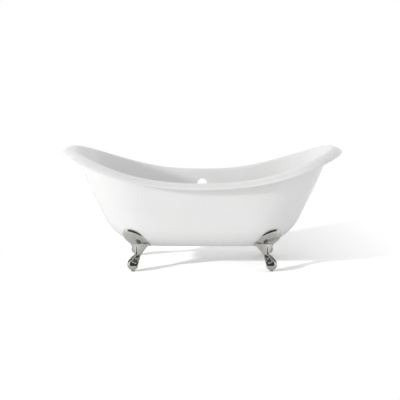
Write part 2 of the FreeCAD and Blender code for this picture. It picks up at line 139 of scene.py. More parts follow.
# How finely the tub is sampled, and how many cells its overflow patch takes each way
BOTTOM_STEPS = 22
WALL_STEPS = 28
ROLL_TOP_STEPS = 9
ROLL_OUTER_STEPS = 12
LIP_STEPS = 6
END_STEPS = 30
SIDE_STEPS = 20
PATCH_COLUMNS = 4
PATCH_ROWS = 4

# How finely the lugs, feet and screws are sampled: steps round, rows along
LUG_STEPS = 32
BALL_STEPS = 64
SHIELD_STEPS = 96
FAN_STEPS = 64
FAN_ROWS = 16
TOE_STEPS = 20
TOE_ROWS = 6
POST_STEPS = 48
SCREW_STEPS = 30
THREAD_ROWS = 5

# The skin over a foot's forms: its cell, how often it is softened, and how near the shield it is trued up
SKIN_CELL = 0.0015
SKIN_ROUNDS = 4
SHIELD_TRUING = 0.0012
FOOT_SHARP_ANGLE = math.radians(40)
SCREW_SHARP_ANGLE = math.radians(35)


# Small helpers


def spread(start, stop, steps):
    """Evenly spaced values from start to stop, both of them included."""
    return [start + (stop - start) * step / steps for step in range(steps + 1)]


def round_angles(steps):
    """Evenly spaced angles of one full turn, each direction once."""
    return spread(0, 2 * math.pi, steps)[:-1]


def new_object(name, mesh):
    item = bpy.data.objects.new(name, mesh)
    bpy.context.scene.collection.objects.link(item)
    return item


def shade_smooth(mesh):
    for polygon in mesh.polygons:
        polygon.use_smooth = True


def mesh_from(name, bm):
    bmesh.ops.recalc_face_normals(bm, faces=bm.faces)
    mesh = bpy.data.meshes.new(name)
    bm.to_mesh(mesh)
    bm.free()
    shade_smooth(mesh)
    return mesh


def bridge(bm, first, second):
    """Quads between two closed loops of as many vertices."""
    count = len(first)
    for index in range(count):
        following = (index + 1) % count
        bm.faces.new((first[index], first[following], second[following], second[index]))


def bridge_all(bm, loops):
    for first, second in zip(loops, loops[1:]):
        bridge(bm, first, second)


def new_loop(bm, points):
    return [bm.verts.new(point) for point in points]


# The tub's surfaces


class Section:
    """The wall's outline in one upright plane, as (reach from the middle, height)."""

    def __init__(self, lean, bottom_radius, rim, ridge, belly):
        self.lean = lean
        self.bottom_radius = bottom_radius
        self.rim = rim
        self.ridge = ridge
        self.belly = belly
        rise = rim - ROLL_TOP_RADIUS - UNDERSIDE - bottom_radius
        spread_out = ROLL_TOP_RADIUS - WALL + bottom_radius + rise * math.sin(lean)
        self.floor = ridge - spread_out / math.cos(lean)

    def bottom(self, inset):
        radius = self.bottom_radius - inset
        centre = UNDERSIDE + self.bottom_radius
        angles = spread(0, math.pi / 2 - self.lean, BOTTOM_STEPS)
        return [(self.floor + radius * math.sin(a), centre - radius * math.cos(a)) for a in angles]

    def roll_top(self, inset):
        radius = ROLL_TOP_RADIUS - WALL + inset
        centre = self.rim - ROLL_TOP_RADIUS
        angles = spread(math.pi / 2 - self.lean, 0, ROLL_TOP_STEPS)
        return [(self.ridge - radius * math.sin(a), centre + radius * math.cos(a)) for a in angles]

    def roll_outer(self, inset):
        radius = ROLL_OUTER_RADIUS - WALL + inset
        centre = self.rim - ROLL_OUTER_RADIUS
        angles = spread(0, ROLL_TURN, ROLL_OUTER_STEPS)[1:]
        return [(self.ridge + radius * math.sin(a), centre + radius * math.cos(a)) for a in angles]

    def wall(self, inset):
        low_reach, low = self.bottom(inset)[-1]
        high_reach, high = self.roll_top(inset)[0]
        points = []
        for step in range(1, WALL_STEPS):
            share = step / WALL_STEPS
            swell = self.belly * math.sin(math.pi * share) ** 2
            reach = low_reach + (high_reach - low_reach) * share + swell * math.cos(self.lean)
            points.append((reach, low + (high - low) * share - swell * math.sin(self.lean)))
        return points

    def outline(self, inset):
        return self.bottom(inset) + self.wall(inset) + self.roll_top(inset) + self.roll_outer(inset)

    def lip(self):
        """Half a turn round the rim's free edge, without the points shared with the two faces."""
        radius = ROLL_OUTER_RADIUS - WALL / 2
        out, up = math.sin(ROLL_TURN), math.cos(ROLL_TURN)
        reach, height = self.ridge + radius * out, self.rim - ROLL_OUTER_RADIUS + radius * up
        points = []
        for angle in spread(0, math.pi, LIP_STEPS)[1:-1]:
            side, forward = WALL / 2 * math.cos(angle), WALL / 2 * math.sin(angle)
            points.append((reach + side * out + forward * up, height + side * up - forward * out))
        return points


ROLL_REACH = ROLL_OUTER_RADIUS * math.sin(ROLL_TURN)
END = Section(END_LEAN, END_BOTTOM_RADIUS, RIM_END, TUB_LENGTH / 2 - ROLL_REACH, END_BELLY)
SIDE = Section(SIDE_LEAN, SIDE_BOTTOM_RADIUS, RIM_MIDDLE, TUB_WIDTH / 2 - ROLL_REACH, 0)
ROLL_START = END.roll_top(0)[0][0]
FOOT_ALONG = END.floor + FOOT_PAST_FLOOR_END
FOOT_ACROSS = SIDE.floor + FOOT_PAST_FLOOR_SIDE


def quarter_outline():
    """Shares (straight, round along, round across) from an end's tip to the middle of a side."""
    shares = []
    for angle in spread(0, math.pi / 2, END_STEPS):
        along, across = math.cos(angle), math.sin(angle)
        scale = (along**END_FULLNESS + across**END_FULLNESS) ** (-1 / END_FULLNESS)
        shares.append((1, scale * along, scale * across))
    return shares + [(1 - step / SIDE_STEPS, 0, 1) for step in range(1, SIDE_STEPS + 1)]


def full_outline():
    """The shares all the way round, each with the signs of its quarter."""
    quarter = quarter_outline()
    back = quarter[-2::-1]
    turn = [(share, 1, 1) for share in quarter]
    turn += [(share, -1, 1) for share in back]
    turn += [(share, -1, -1) for share in quarter[1:]]
    return turn + [(share, 1, -1) for share in back[:-1]]


OUTLINE = full_outline()
REAR_COLUMN = END_STEPS + SIDE_STEPS


def rounding_at(reach):
    """Length of the rounded end where the end wall has this reach."""
    if reach >= ROLL_START:
        return RIM_END_ROUNDING + reach - END.ridge
    high = RIM_END_ROUNDING + ROLL_START - END.ridge
    share = (reach - END.floor) / (ROLL_START - END.floor)
    return FLOOR_END_ROUNDING + (high - FLOOR_END_ROUNDING) * share


def climb_share(share):
    """How much of the climb from side to end is done at a share of the way there."""
    easing = RIM_CLIMB_EASING * share ** (2 * RIM_CLIMB_POWER)
    return (1 + RIM_CLIMB_EASING) * share**RIM_CLIMB_POWER - easing


def ring_points(end_point, side_point):
    """Points round the tub at one station of its two outlines."""
    reach, end_height = end_point
    half_width, side_height = side_point
    rounding = rounding_at(reach)
    points = []
    for (straight, along, across), sign_x, sign_y in OUTLINE:
        x = (reach - rounding) * straight + rounding * along
        climb = (end_height - side_height) * climb_share(x / reach)
        y = (half_width + math.tan(SIDE_LEAN) * climb) * across
        points.append(Vector((sign_x * x, sign_y * y, side_height + climb)))
    return points


def rings(end_points, side_points):
    return [ring_points(end, side) for end, side in zip(end_points, side_points)]


# The tub's mesh: one closed surface with its two holes, and the lugs set into it from below


def wall_frame():
    """Middle of the overflow on the wall's inner face, and the wall's outward and upward directions."""
    outward = Vector((0, math.cos(SIDE_LEAN), -math.sin(SIDE_LEAN)))
    upward = Vector((0, math.sin(SIDE_LEAN), math.cos(SIDE_LEAN)))
    low_reach, low = SIDE.bottom(0)[-1]
    height = RIM_MIDDLE - OVERFLOW_DROP
    outer = Vector((0, low_reach + (height - low) * math.tan(SIDE_LEAN), height))
    return outer - outward * WALL, outward, upward


def hole_stations(radius, depth):
    """(radius, depth) steps through a plate's hole, with rounded edges on both faces."""
    entry = [(radius + HOLE_ROUNDING, 0), (radius + HOLE_TUCK, HOLE_TUCK), (radius, HOLE_ROUNDING)]
    return entry + [(r, depth - d) for r, d in reversed(entry)]


def patch_window(inner_rows, centre):
    """First and last row and column of the wall's cells that the overflow takes."""
    heights = [row[REAR_COLUMN].co.z for row in inner_rows]
    middle = min(range(len(heights)), key=lambda index: abs(heights[index] - centre.z))
    rows = (middle - PATCH_ROWS, middle + PATCH_ROWS)
    columns = (REAR_COLUMN - PATCH_COLUMNS, REAR_COLUMN + PATCH_COLUMNS)
    return rows + columns


def window_edge(rows, window):
    """The vertices round a window of the wall, in turn."""
    top, bottom, left, right = window
    edge = [rows[top][column] for column in range(left, right)]
    edge += [rows[row][right] for row in range(top, bottom)]
    edge += [rows[bottom][column] for column in range(right, left, -1)]
    return edge + [rows[row][left] for row in range(bottom, top, -1)]


def skin_rows(bm, rows, window=None):
    """Faces between rows, leaving out the cells of a window."""
    count = len(rows[0])
    for index, (row, following) in enumerate(zip(rows, rows[1:])):
        for column in range(count):
            after = (column + 1) % count
            if window and window[0] <= index < window[1] and window[2] <= column < window[3]:
                continue
            bm.faces.new((row[column], row[after], following[after], following[column]))


def add_overflow(bm, inner_rows, outer_rows, window):
    """Joins the windows of both faces through the round hole."""
    centre, outward, upward = wall_frame()
    inner_edge = window_edge(inner_rows, window)
    outer_edge = window_edge(outer_rows, window)
    bearings = []
    for vertex in inner_edge[:2]:
        offset = vertex.co - centre
        bearings.append(math.atan2(offset.dot(upward), offset.x))
    corner = math.pi / 4 + math.pi / 2 * math.floor(bearings[0] / (math.pi / 2))
    turn = math.copysign(2 * math.pi / len(inner_edge), bearings[1] - bearings[0])
    angles = [corner + turn * index for index in range(len(inner_edge))]
    loops = [inner_edge]
    for radius, depth in hole_stations(OVERFLOW_RADIUS, WALL):
        ring = []
        for angle in angles:
            across = Vector((math.cos(angle), 0, 0)) + upward * math.sin(angle)
            ring.append(centre + outward * depth + across * radius)
        loops.append(new_loop(bm, ring))
    loops.append(outer_edge)
    bridge_all(bm, loops)


def add_drain(bm, floor_ring, underside_ring):
    """Joins the flat floor's two faces through the drain, with its seat for a flange."""
    middle = Vector((0, SIDE.floor - DRAIN_INSET, 0))
    directions = [(Vector((v.co.x, v.co.y, 0)) - middle).normalized() for v in floor_ring]
    floor = UNDERSIDE + WALL
    seat = floor - DRAIN_SEAT_DEPTH
    stations = [(DRAIN_SEAT_RADIUS + SEAT_TUCK, floor), (DRAIN_SEAT_RADIUS, floor - SEAT_TUCK)]
    stations += [(DRAIN_SEAT_RADIUS, seat + SEAT_TUCK), (DRAIN_SEAT_RADIUS - SEAT_TUCK, seat)]
    stations += [(DRAIN_RADIUS + SEAT_TUCK, seat), (DRAIN_RADIUS, seat - SEAT_TUCK)]
    stations += [(DRAIN_RADIUS, UNDERSIDE + SEAT_TUCK), (DRAIN_RADIUS + SEAT_TUCK, UNDERSIDE)]
    loops = [floor_ring]
    for radius, height in stations:
        up = Vector((0, 0, height))
        loops.append(new_loop(bm, [middle + direction * radius + up for direction in directions]))
    loops.append(underside_ring)
    bridge_all(bm, loops)


def lug_ring(middle, radius, height):
    points = []
    for angle in round_angles(LUG_STEPS):
        points.append(middle + Vector((radius * math.cos(angle), radius * math.sin(angle), height)))
    return points


def add_lugs(bm, tree):
    """The four round lugs under the tub, from their level faces up into the wall."""
    face = [(LUG_BORE_RADIUS, LUG_FACE), (LUG_RADIUS - LUG_EDGE, LUG_FACE)]
    face.append((LUG_RADIUS, LUG_FACE + LUG_EDGE))
    for sign_x, sign_y in CORNERS.values():
        middle = Vector((
            sign_x * (FOOT_ALONG - STUD_SETBACK * math.cos(FOOT_TURN)),
            sign_y * (FOOT_ACROSS - STUD_SETBACK * math.sin(FOOT_TURN)),
            0,
        ))
        loops = [new_loop(bm, lug_ring(middle, radius, height)) for radius, height in face]
        top = []
        for point in lug_ring(middle, LUG_RADIUS, LUG_FACE):
            hit = tree.ray_cast(point, Vector((0, 0, 1)))[0]
            top.append(hit + Vector((0, 0, WALL / 2)))
        loops.append(new_loop(bm, top))
        bridge_all(bm, loops)


def make_tub():
    bm = bmesh.new()
    inner = [new_loop(bm, ring) for ring in rings(END.outline(WALL), SIDE.outline(WALL))]
    lip = [new_loop(bm, ring) for ring in rings(END.lip(), SIDE.lip())]
    outer = [new_loop(bm, ring) for ring in rings(END.outline(0), SIDE.outline(0))]
    window = patch_window(inner, wall_frame()[0])
    skin_rows(bm, inner, window)
    skin_rows(bm, [inner[-1]] + lip + [outer[-1]])
    skin_rows(bm, outer, window)
    add_overflow(bm, inner, outer, window)
    add_drain(bm, inner[0], outer[0])
    add_lugs(bm, BVHTree.FromBMesh(bm))
    return new_object("tub", mesh_from("tub", bm))


# A foot's forms, in its own frame


def add_ellipsoid(bm, matrix, steps):
    """A unit sphere under a matrix. Gives back its vertices."""
    sphere = bmesh.ops.create_uvsphere(bm, u_segments=steps, v_segments=steps // 2, radius=1, matrix=matrix)
    return sphere["verts"]


def shield_matrix():
    """Unit sphere to shield: its short axis points away from the tub and down."""
    turn = Matrix.Rotation(SHIELD_TILT, 4, "Y") @ Matrix.Rotation(SHIELD_YAW, 4, "Z")
    size = Matrix.Diagonal((SHIELD_RISE, SHIELD_HALF_WIDTH, SHIELD_HALF_HEIGHT, 1))
    return Matrix.Translation((-SHIELD_SETBACK, -SHIELD_SHIFT, SHIELD_HEIGHT)) @ turn @ size


def ball_matrix():
    """Unit sphere to ball, a little wider than high."""
    girth = BALL_WIDENING * BALL_RADIUS
    size = Matrix.Diagonal((girth, girth, BALL_FLATTENING * BALL_RADIUS, 1))
    return Matrix.Translation((0, 0, BALL_HEIGHT)) @ size


def palm_matrix():
    """Unit sphere to palm: its long axis runs from the ball up to the neck."""
    drop = NECK_HEIGHT - BALL_HEIGHT
    middle = Vector((-NECK_SETBACK * (1 - PALM_PLACE), 0, NECK_HEIGHT - drop * PALM_PLACE))
    turn = Matrix.Rotation(-math.atan2(NECK_SETBACK, drop), 4, "Y")
    size = Matrix.Diagonal((PALM_RADIUS, PALM_RADIUS, PALM_HALF_LENGTH, 1))
    return Matrix.Translation(middle) @ turn @ size


def close_loops(bm, loops):
    """Skins closed loops and caps the first and the last."""
    bridge_all(bm, loops)
    bm.faces.new(loops[0])
    bm.faces.new(loops[-1])


# The fan's ends, hidden in the palm and in the shield: front, back, half width and height
FAN_ROOT = (-0.0302, -0.0568, 0.0145, 0.0748)
FAN_TOP = (-0.062, -0.09, 0.05, 0.1956)


def add_fan(bm):
    """The leg from inside the palm up into the shield, widening behind a nearly upright front."""
    low_front, low_back = NECK_SETBACK - NECK_DEPTH, NECK_SETBACK + NECK_DEPTH
    deepening = FAN_SETBACK + FAN_HALF_DEPTH - NECK_SETBACK - NECK_DEPTH
    stations = [FAN_ROOT]
    for share in spread(0, 1, FAN_ROWS):
        front = low_front + FAN_FRONT_SETBACK * share
        back = low_back + deepening * share
        half_width = NECK_RADIUS + (FAN_HALF_WIDTH - NECK_RADIUS) * share**FAN_POWER
        height = NECK_HEIGHT + (FAN_HEIGHT - NECK_HEIGHT) * share
        stations.append((-front, -back, half_width, height))
    stations.append(FAN_TOP)
    loops = []
    for front, back, half_width, height in stations:
        middle, half_depth = (front + back) / 2, (front - back) / 2
        ring = []
        for angle in round_angles(FAN_STEPS):
            ring.append((middle + half_depth * math.cos(angle), half_width * math.sin(angle), height))
        loops.append(new_loop(bm, ring))
    close_loops(bm, loops)


def curve_point(points, position):
    """A point on the Catmull-Rom curve through points, where whole positions are the points."""
    index = min(int(position), len(points) - 2)
    share = position - index
    before = points[max(index - 1, 0)]
    start, stop = points[index], points[index + 1]
    after = points[min(index + 2, len(points) - 1)]
    return 0.5 * (
        2 * start
        + (stop - before) * share
        + (2 * before - 5 * start + 4 * stop - after) * share**2
        + (3 * start - before - 3 * stop + after) * share**3
    )


def add_talon(bm, path):
    """A round tapering toe through (x, y, z, radius) points."""
    points = [Vector(point) for point in path]
    last = len(points) - 1
    stations = [curve_point(points, position) for position in spread(0, last, TOE_ROWS * last)]
    loops = []
    for index, station in enumerate(stations):
        before = stations[max(index - 1, 0)].to_3d()
        after = stations[min(index + 1, len(stations) - 1)].to_3d()
        turn = (after - before).to_track_quat("Z", "Y")
        ring = []
        for angle in round_angles(TOE_STEPS):
            across = Vector((math.cos(angle), math.sin(angle), 0)) * station.w
            ring.append(station.to_3d() + turn @ across)
        loops.append(new_loop(bm, ring))
    close_loops(bm, loops)


# The toes, as (x, y, z, radius) points: the middle one starts as a tendon on the fan's front, the side one
# is mirrored, and a spur runs down behind. A wing's points draw out one lower corner of the shield.
MIDDLE_TOE = (
    (-0.056, 0, 0.168, 0.004),
    (-0.05, 0, 0.152, 0.006),
    (-0.0475, 0, 0.132, 0.0064),
    (-0.0445, 0, 0.112, 0.0064),
    (-0.0355, 0, 0.0985, 0.0068),
    (-0.019, 0, 0.0865, 0.008),
    (0.001, 0, 0.0755, 0.0066),
    (0.0195, 0, 0.0635, 0.0072),
    (0.03, 0, 0.0475, 0.006),
    (0.0315, 0, 0.0325, 0.0048),
    (0.0275, 0, 0.019, 0.0014),
)
SIDE_TOE = (
    (-0.058, 0.009, 0.108, 0.006),
    (-0.048, 0.0165, 0.092, 0.007),
    (-0.032, 0.025, 0.08, 0.008),
    (-0.015, 0.031, 0.068, 0.0068),
    (-0.003, 0.0335, 0.055, 0.007),
    (0.005, 0.033, 0.042, 0.006),
    (0.009, 0.03, 0.0295, 0.0048),
    (0.01, 0.0255, 0.0185, 0.0014),
)
SPUR = (
    (-0.066, 0, 0.104, 0.007),
    (-0.06, 0, 0.084, 0.0076),
    (-0.048, 0, 0.066, 0.0076),
    (-0.038, 0, 0.051, 0.0066),
    (-0.034, 0, 0.038, 0.0055),
    (-0.0305, 0, 0.0265, 0.0042),
    (-0.0265, 0, 0.0175, 0.0012),
)
WING = (
    (-0.0672, 0.0694, 0.184),
    (-0.1002, 0.0634, 0.1596),
    (-0.1362, 0.056, 0.1453),
)


def mirrored_path(path):
    return [(x, -y, z, radius) for x, y, z, radius in path]


def add_shield(bm):
    """The domed shield, drawn out to a wing on each side."""
    for side in (1, -1):
        dome = add_ellipsoid(bm, shield_matrix(), SHIELD_STEPS)
        wing = new_loop(bm, [(x, side * y, z) for x, y, z in WING])
        hull = bmesh.ops.convex_hull(bm, input=dome + wing)
        spare = dict.fromkeys(hull["geom_interior"] + hull["geom_unused"])
        spare_points = [item for item in spare if isinstance(item, bmesh.types.BMVert)]
        bmesh.ops.delete(bm, geom=spare_points, context="VERTS")


def add_post(bm, setback, radius, low, high):
    """An upright cylinder on the foot's middle plane."""
    bmesh.ops.create_cone(
        bm,
        cap_ends=True,
        segments=POST_STEPS,
        radius1=radius,
        radius2=radius,
        depth=high - low,
        matrix=Matrix.Translation((-setback, 0, (low + high) / 2)),
    )


def foot_forms():
    bm = bmesh.new()
    add_shield(bm)
    add_ellipsoid(bm, ball_matrix(), BALL_STEPS)
    add_ellipsoid(bm, palm_matrix(), BALL_STEPS)
    add_fan(bm)
    add_post(bm, STUD_SETBACK, WEB_RADIUS, WEB_BOTTOM, LUG_FACE)
    for path in (MIDDLE_TOE, SPUR, SIDE_TOE, mirrored_path(SIDE_TOE)):
        add_talon(bm, path)
    return new_object("foot_forms", mesh_from("foot_forms", bm))


def applied(item):
    """Replaces an object's mesh by what its modifiers make of it."""
    depsgraph = bpy.context.evaluated_depsgraph_get()
    mesh = bpy.data.meshes.new_from_object(item.evaluated_get(depsgraph))
    item.modifiers.clear()
    item.data = mesh


def flow_together(item, cell, rounds):
    """One skin over all the forms, with soft fillets where they meet."""
    remesh = item.modifiers.new("skin", "REMESH")
    remesh.mode = "VOXEL"
    remesh.voxel_size = cell
    soften = item.modifiers.new("soften", "SMOOTH")
    soften.factor = 0.5
    soften.iterations = rounds
    applied(item)


def true_up(mesh, matrix, reach):
    """Draws vertices that lie within reach of an ellipsoid onto it, so that it reflects cleanly."""
    inverse = matrix.inverted()
    least = min(matrix.to_scale())
    for vertex in mesh.vertices:
        place = inverse @ vertex.co
        off = abs(place.length - 1) * least
        if off < reach:
            pull = min(1, 2 * (1 - off / reach))
            vertex.co = vertex.co.lerp(matrix @ place.normalized(), pull)


def foot_frame():
    """Place of the foot at the front left corner of the tub."""
    turn = Matrix.Rotation(math.pi + FOOT_TURN, 4, "Z")
    return Matrix.Translation((-FOOT_ALONG, -FOOT_ACROSS, 0)) @ turn


def hull_cutter():
    """The tub's lower body filled solid and a little fuller, which the feet fit round."""
    bm = bmesh.new()
    rows = BOTTOM_STEPS + WALL_STEPS
    end_points = END.outline(-FOOT_CLEARANCE)[:rows]
    side_points = SIDE.outline(-FOOT_CLEARANCE)[:rows]
    loops = [new_loop(bm, ring) for ring in rings(end_points, side_points)]
    skin_rows(bm, loops)
    for loop in (loops[0], loops[-1]):
        heights = [vertex.co.z for vertex in loop]
        middle = bm.verts.new((0, 0, sum(heights) / len(heights)))
        for index, vertex in enumerate(loop):
            bm.faces.new((vertex, loop[(index + 1) % len(loop)], middle))
    return new_object("hull_cutter", mesh_from("hull_cutter", bm))


def post_cutter(name, setback, radius, low, high):
    """An upright cylinder to cut with, already at the front left corner."""
    bm = bmesh.new()
    add_post(bm, setback, radius, low, high)
    bm.transform(foot_frame())
    return new_object(name, mesh_from(name, bm))


def carve(item, cutters):
    """Cuts the cutters out of an object and removes them."""
    for cutter in cutters:
        modifier = item.modifiers.new(cutter.name, "BOOLEAN")
        modifier.operation = "DIFFERENCE"
        modifier.solver = "EXACT"
        modifier.object = cutter
    applied(item)
    for cutter in cutters:
        bpy.data.objects.remove(cutter)


def make_first_foot():
    """The front left foot's finished mesh."""
    foot = foot_forms()
    flow_together(foot, SKIN_CELL, SKIN_ROUNDS)
    true_up(foot.data, shield_matrix(), SHIELD_TRUING)
    foot.data.transform(foot_frame())
    carve(foot, [
        hull_cutter(),
        post_cutter("lug_cutter", STUD_SETBACK, LUG_ROOM, LUG_FACE, SHIELD_HEIGHT),
        post_cutter("stud_cutter", STUD_SETBACK, STUD_HOLE_RADIUS, STUD_HOLE_BOTTOM, SHIELD_HEIGHT),
        post_cutter("wrench_cutter", STUD_SETBACK, WRENCH_RADIUS, WRENCH_BOTTOM, WEB_BOTTOM),
        post_cutter("base_cutter", 0, BASE_CUT_RADIUS, -BALL_RADIUS, BALL_FLAT),
        post_cutter("screw_cutter", 0, SCREW_HOLE_RADIUS, -BALL_RADIUS, SCREW_TOP + SCREW_TIP_ROOM),
    ])
    mesh = foot.data
    bpy.data.objects.remove(foot)
    shade_smooth(mesh)
    mesh.set_sharp_from_angle(angle=FOOT_SHARP_ANGLE)
    return mesh


def make_feet():
    """The four feet by corner, mirror images of the first."""
    first = make_first_foot()
    feet = {}
    for corner, (sign_x, sign_y) in CORNERS.items():
        mesh = first.copy()
        mesh.name = f"nickel_foot_{corner}"
        mesh.transform(Matrix.Diagonal((-sign_x, -sign_y, 1, 1)))
        if sign_x != sign_y:
            mesh.flip_normals()
        feet[corner] = new_object(mesh.name, mesh)
    return feet


# The levelling screws


def screw_profile():
    """(radius, height, threaded) from the spigot in the pad up to the tip."""
    turned = [
        (0.0, SPIGOT_BOTTOM),
        (SPIGOT_RADIUS, SPIGOT_BOTTOM),
        (SPIGOT_RADIUS, SCREW_HEAD_BOTTOM),
        (SCREW_HEAD_RADIUS - SCREW_EDGE, SCREW_HEAD_BOTTOM),
        (SCREW_HEAD_RADIUS, SCREW_HEAD_BOTTOM + SCREW_EDGE),
        (SCREW_HEAD_RADIUS, BALL_FLAT - SCREW_EDGE),
        (SCREW_HEAD_RADIUS - SCREW_EDGE, BALL_FLAT),
        (SCREW_RADIUS, BALL_FLAT),
    ]
    stations = [(radius, height, False) for radius, height in turned]
    low, high = BALL_FLAT + THREAD_PITCH, SCREW_TOP - SCREW_EDGE
    rows = round((high - low) / THREAD_PITCH * THREAD_ROWS)
    stations += [(SCREW_RADIUS, height, True) for height in spread(low, high, rows)]
    tip_radius = SCREW_RADIUS - SCREW_EDGE - THREAD_DEPTH
    return stations + [(tip_radius, SCREW_TOP, False), (0.0, SCREW_TOP, False)]


def make_screw(corner, signs):
    """A levelling screw with its thread, closed at both ends by a tiny ring."""
    bm = bmesh.new()
    loops = []
    middle = Vector((signs[0] * FOOT_ALONG, signs[1] * FOOT_ACROSS, 0))
    for radius, height, threaded in screw_profile():
        ring = []
        for angle in round_angles(SCREW_STEPS):
            turn = (height / THREAD_PITCH - angle / (2 * math.pi)) % 1
            reach = max(radius - THREAD_DEPTH * abs(2 * turn - 1) * threaded, SCREW_END_RADIUS)
            ring.append(middle + Vector((reach * math.cos(angle), reach * math.sin(angle), height)))
        loops.append(new_loop(bm, ring))
    close_loops(bm, loops)
    mesh = mesh_from(f"threaded_screw_{corner}", bm)
    mesh.set_sharp_from_angle(angle=SCREW_SHARP_ANGLE)
    return new_object(mesh.name, mesh)


# Materials


def new_material(name):
    """A material with its shader, nodes and links."""
    material = bpy.data.materials.new(name)
    material.use_nodes = True
    nodes, links = material.node_tree.nodes, material.node_tree.links
    return material, nodes["Principled BSDF"], nodes, links


def noise(nodes, links, scale, detail=3.0):
    """Noise over the object's own coordinates."""
    place = nodes.new("ShaderNodeTexCoord")
    texture = nodes.new("ShaderNodeTexNoise")
    texture.inputs["Scale"].default_value = scale
    texture.inputs["Detail"].default_value = detail
    links.new(place.outputs["Object"], texture.inputs["Vector"])
    return texture.outputs["Fac"]


def ramp(nodes, links, source, low, high, start=0.3, stop=0.7):
    """Maps a value from start to stop to a number or a colour from low to high."""
    if isinstance(low, tuple):
        item = nodes.new("ShaderNodeValToRGB")
        item.color_ramp.elements[0].position = start
        item.color_ramp.elements[1].position = stop
        item.color_ramp.elements[0].color = low + (1,)
        item.color_ramp.elements[1].color = high + (1,)
        links.new(source, item.inputs["Fac"])
        return item.outputs["Color"]
    item = nodes.new("ShaderNodeMapRange")
    item.inputs["From Min"].default_value = start
    item.inputs["From Max"].default_value = stop
    item.inputs["To Min"].default_value = low
    item.inputs["To Max"].default_value = high
    links.new(source, item.inputs["Value"])
    return item.outputs["Result"]


def bump(nodes, links, shader, source, distance, strength):
    item = nodes.new("ShaderNodeBump")
    item.inputs["Distance"].default_value = distance
    item.inputs["Strength"].default_value = strength
    links.new(source, item.inputs["Height"])
    links.new(item.outputs["Normal"], shader.inputs["Normal"])


def coat(name, colours, mottle, roughness, smear, grain, detail, depth, strength, metallic=0.0):
    """A material with a mottled colour, an uneven gloss and a bumpy grain.

    mottle, smear and grain are the scales of the three noises. detail, depth and strength are the grain's.
    """
    material, shader, nodes, links = new_material(name)
    colour = ramp(nodes, links, noise(nodes, links, mottle), *colours)
    links.new(colour, shader.inputs["Base Color"])
    gloss = ramp(nodes, links, noise(nodes, links, smear), *roughness)
    links.new(gloss, shader.inputs["Roughness"])
    bump(nodes, links, shader, noise(nodes, links, grain, detail), depth, strength)
    shader.inputs["Metallic"].default_value = metallic
    shader.inputs["IOR"].default_value = 1.5
    return material


def enamel_material():
    """White glass enamel: glossy, with the faint waves of a fired coat."""
    return coat(
        "white_enamel",
        colours=((0.89, 0.89, 0.885), (0.92, 0.92, 0.917)),
        mottle=3.0,
        roughness=(0.1, 0.16),
        smear=40.0,
        grain=55.0,
        detail=1.0,
        depth=0.0004,
        strength=0.12,
    )


def nickel_material():
    """Polished nickel plate with fine buffing marks."""
    return coat(
        "polished_nickel",
        colours=((0.57, 0.565, 0.532), (0.64, 0.635, 0.6)),
        mottle=30.0,
        roughness=(0.08, 0.16),
        smear=120.0,
        grain=400.0,
        detail=2.0,
        depth=0.0002,
        strength=0.06,
        metallic=1.0,
    )


def zinc_material():
    """Zinc-plated steel, dull and slightly spangled."""
    return coat(
        "zinc_plate",
        colours=((0.42, 0.43, 0.44), (0.6, 0.61, 0.62)),
        mottle=260.0,
        roughness=(0.28, 0.45),
        smear=500.0,
        grain=900.0,
        detail=3.0,
        depth=0.0002,
        strength=0.15,
        metallic=1.0,
    )


def nylon_material():
    """Moulded pale nylon, scuffed on its fine grain."""
    return coat(
        "pad_nylon",
        colours=((0.5, 0.5, 0.48), (0.6, 0.6, 0.58)),
        mottle=180.0,
        roughness=(0.45, 0.65),
        smear=300.0,
        grain=1400.0,
        detail=3.0,
        depth=0.0002,
        strength=0.2,
    )


# The studio


def calculate(nodes, links, operation, first, second, clamp=False):
    item = nodes.new("ShaderNodeMath")
    item.operation = operation
    item.use_clamp = clamp
    links.new(first, item.inputs[0])
    links.new(second, item.inputs[1])
    return item.outputs["Value"]


def add_up(nodes, links, sources):
    """The sum of some values, at most 1."""
    total = sources[0]
    for source in sources[1:]:
        total = calculate(nodes, links, "ADD", total, source, clamp=True)
    return total


def mix(nodes, links, share, first, second):
    """The first shader where share is 0, the second where it is 1."""
    item = nodes.new("ShaderNodeMixShader")
    links.new(share, item.inputs["Fac"])
    links.new(first, item.inputs[1])
    links.new(second, item.inputs[2])
    return item.outputs["Shader"]


def split_axes(nodes, links, vector):
    item = nodes.new("ShaderNodeSeparateXYZ")
    links.new(vector, item.inputs["Vector"])
    return item.outputs


# The soft light's strength from below and above, and the heights of direction between which it changes
GLOW_LOW = 1.13
GLOW_HIGH = 0.6
GLOW_START = 0.15
GLOW_STOP = 0.48

# The dark room in front, seen in gloss only: its level, its direction and where it begins and is full
ROOM = 0.05
ROOM_DIRECTION = (0, -1, 0.8)
ROOM_START = 0.16
ROOM_STOP = 0.5


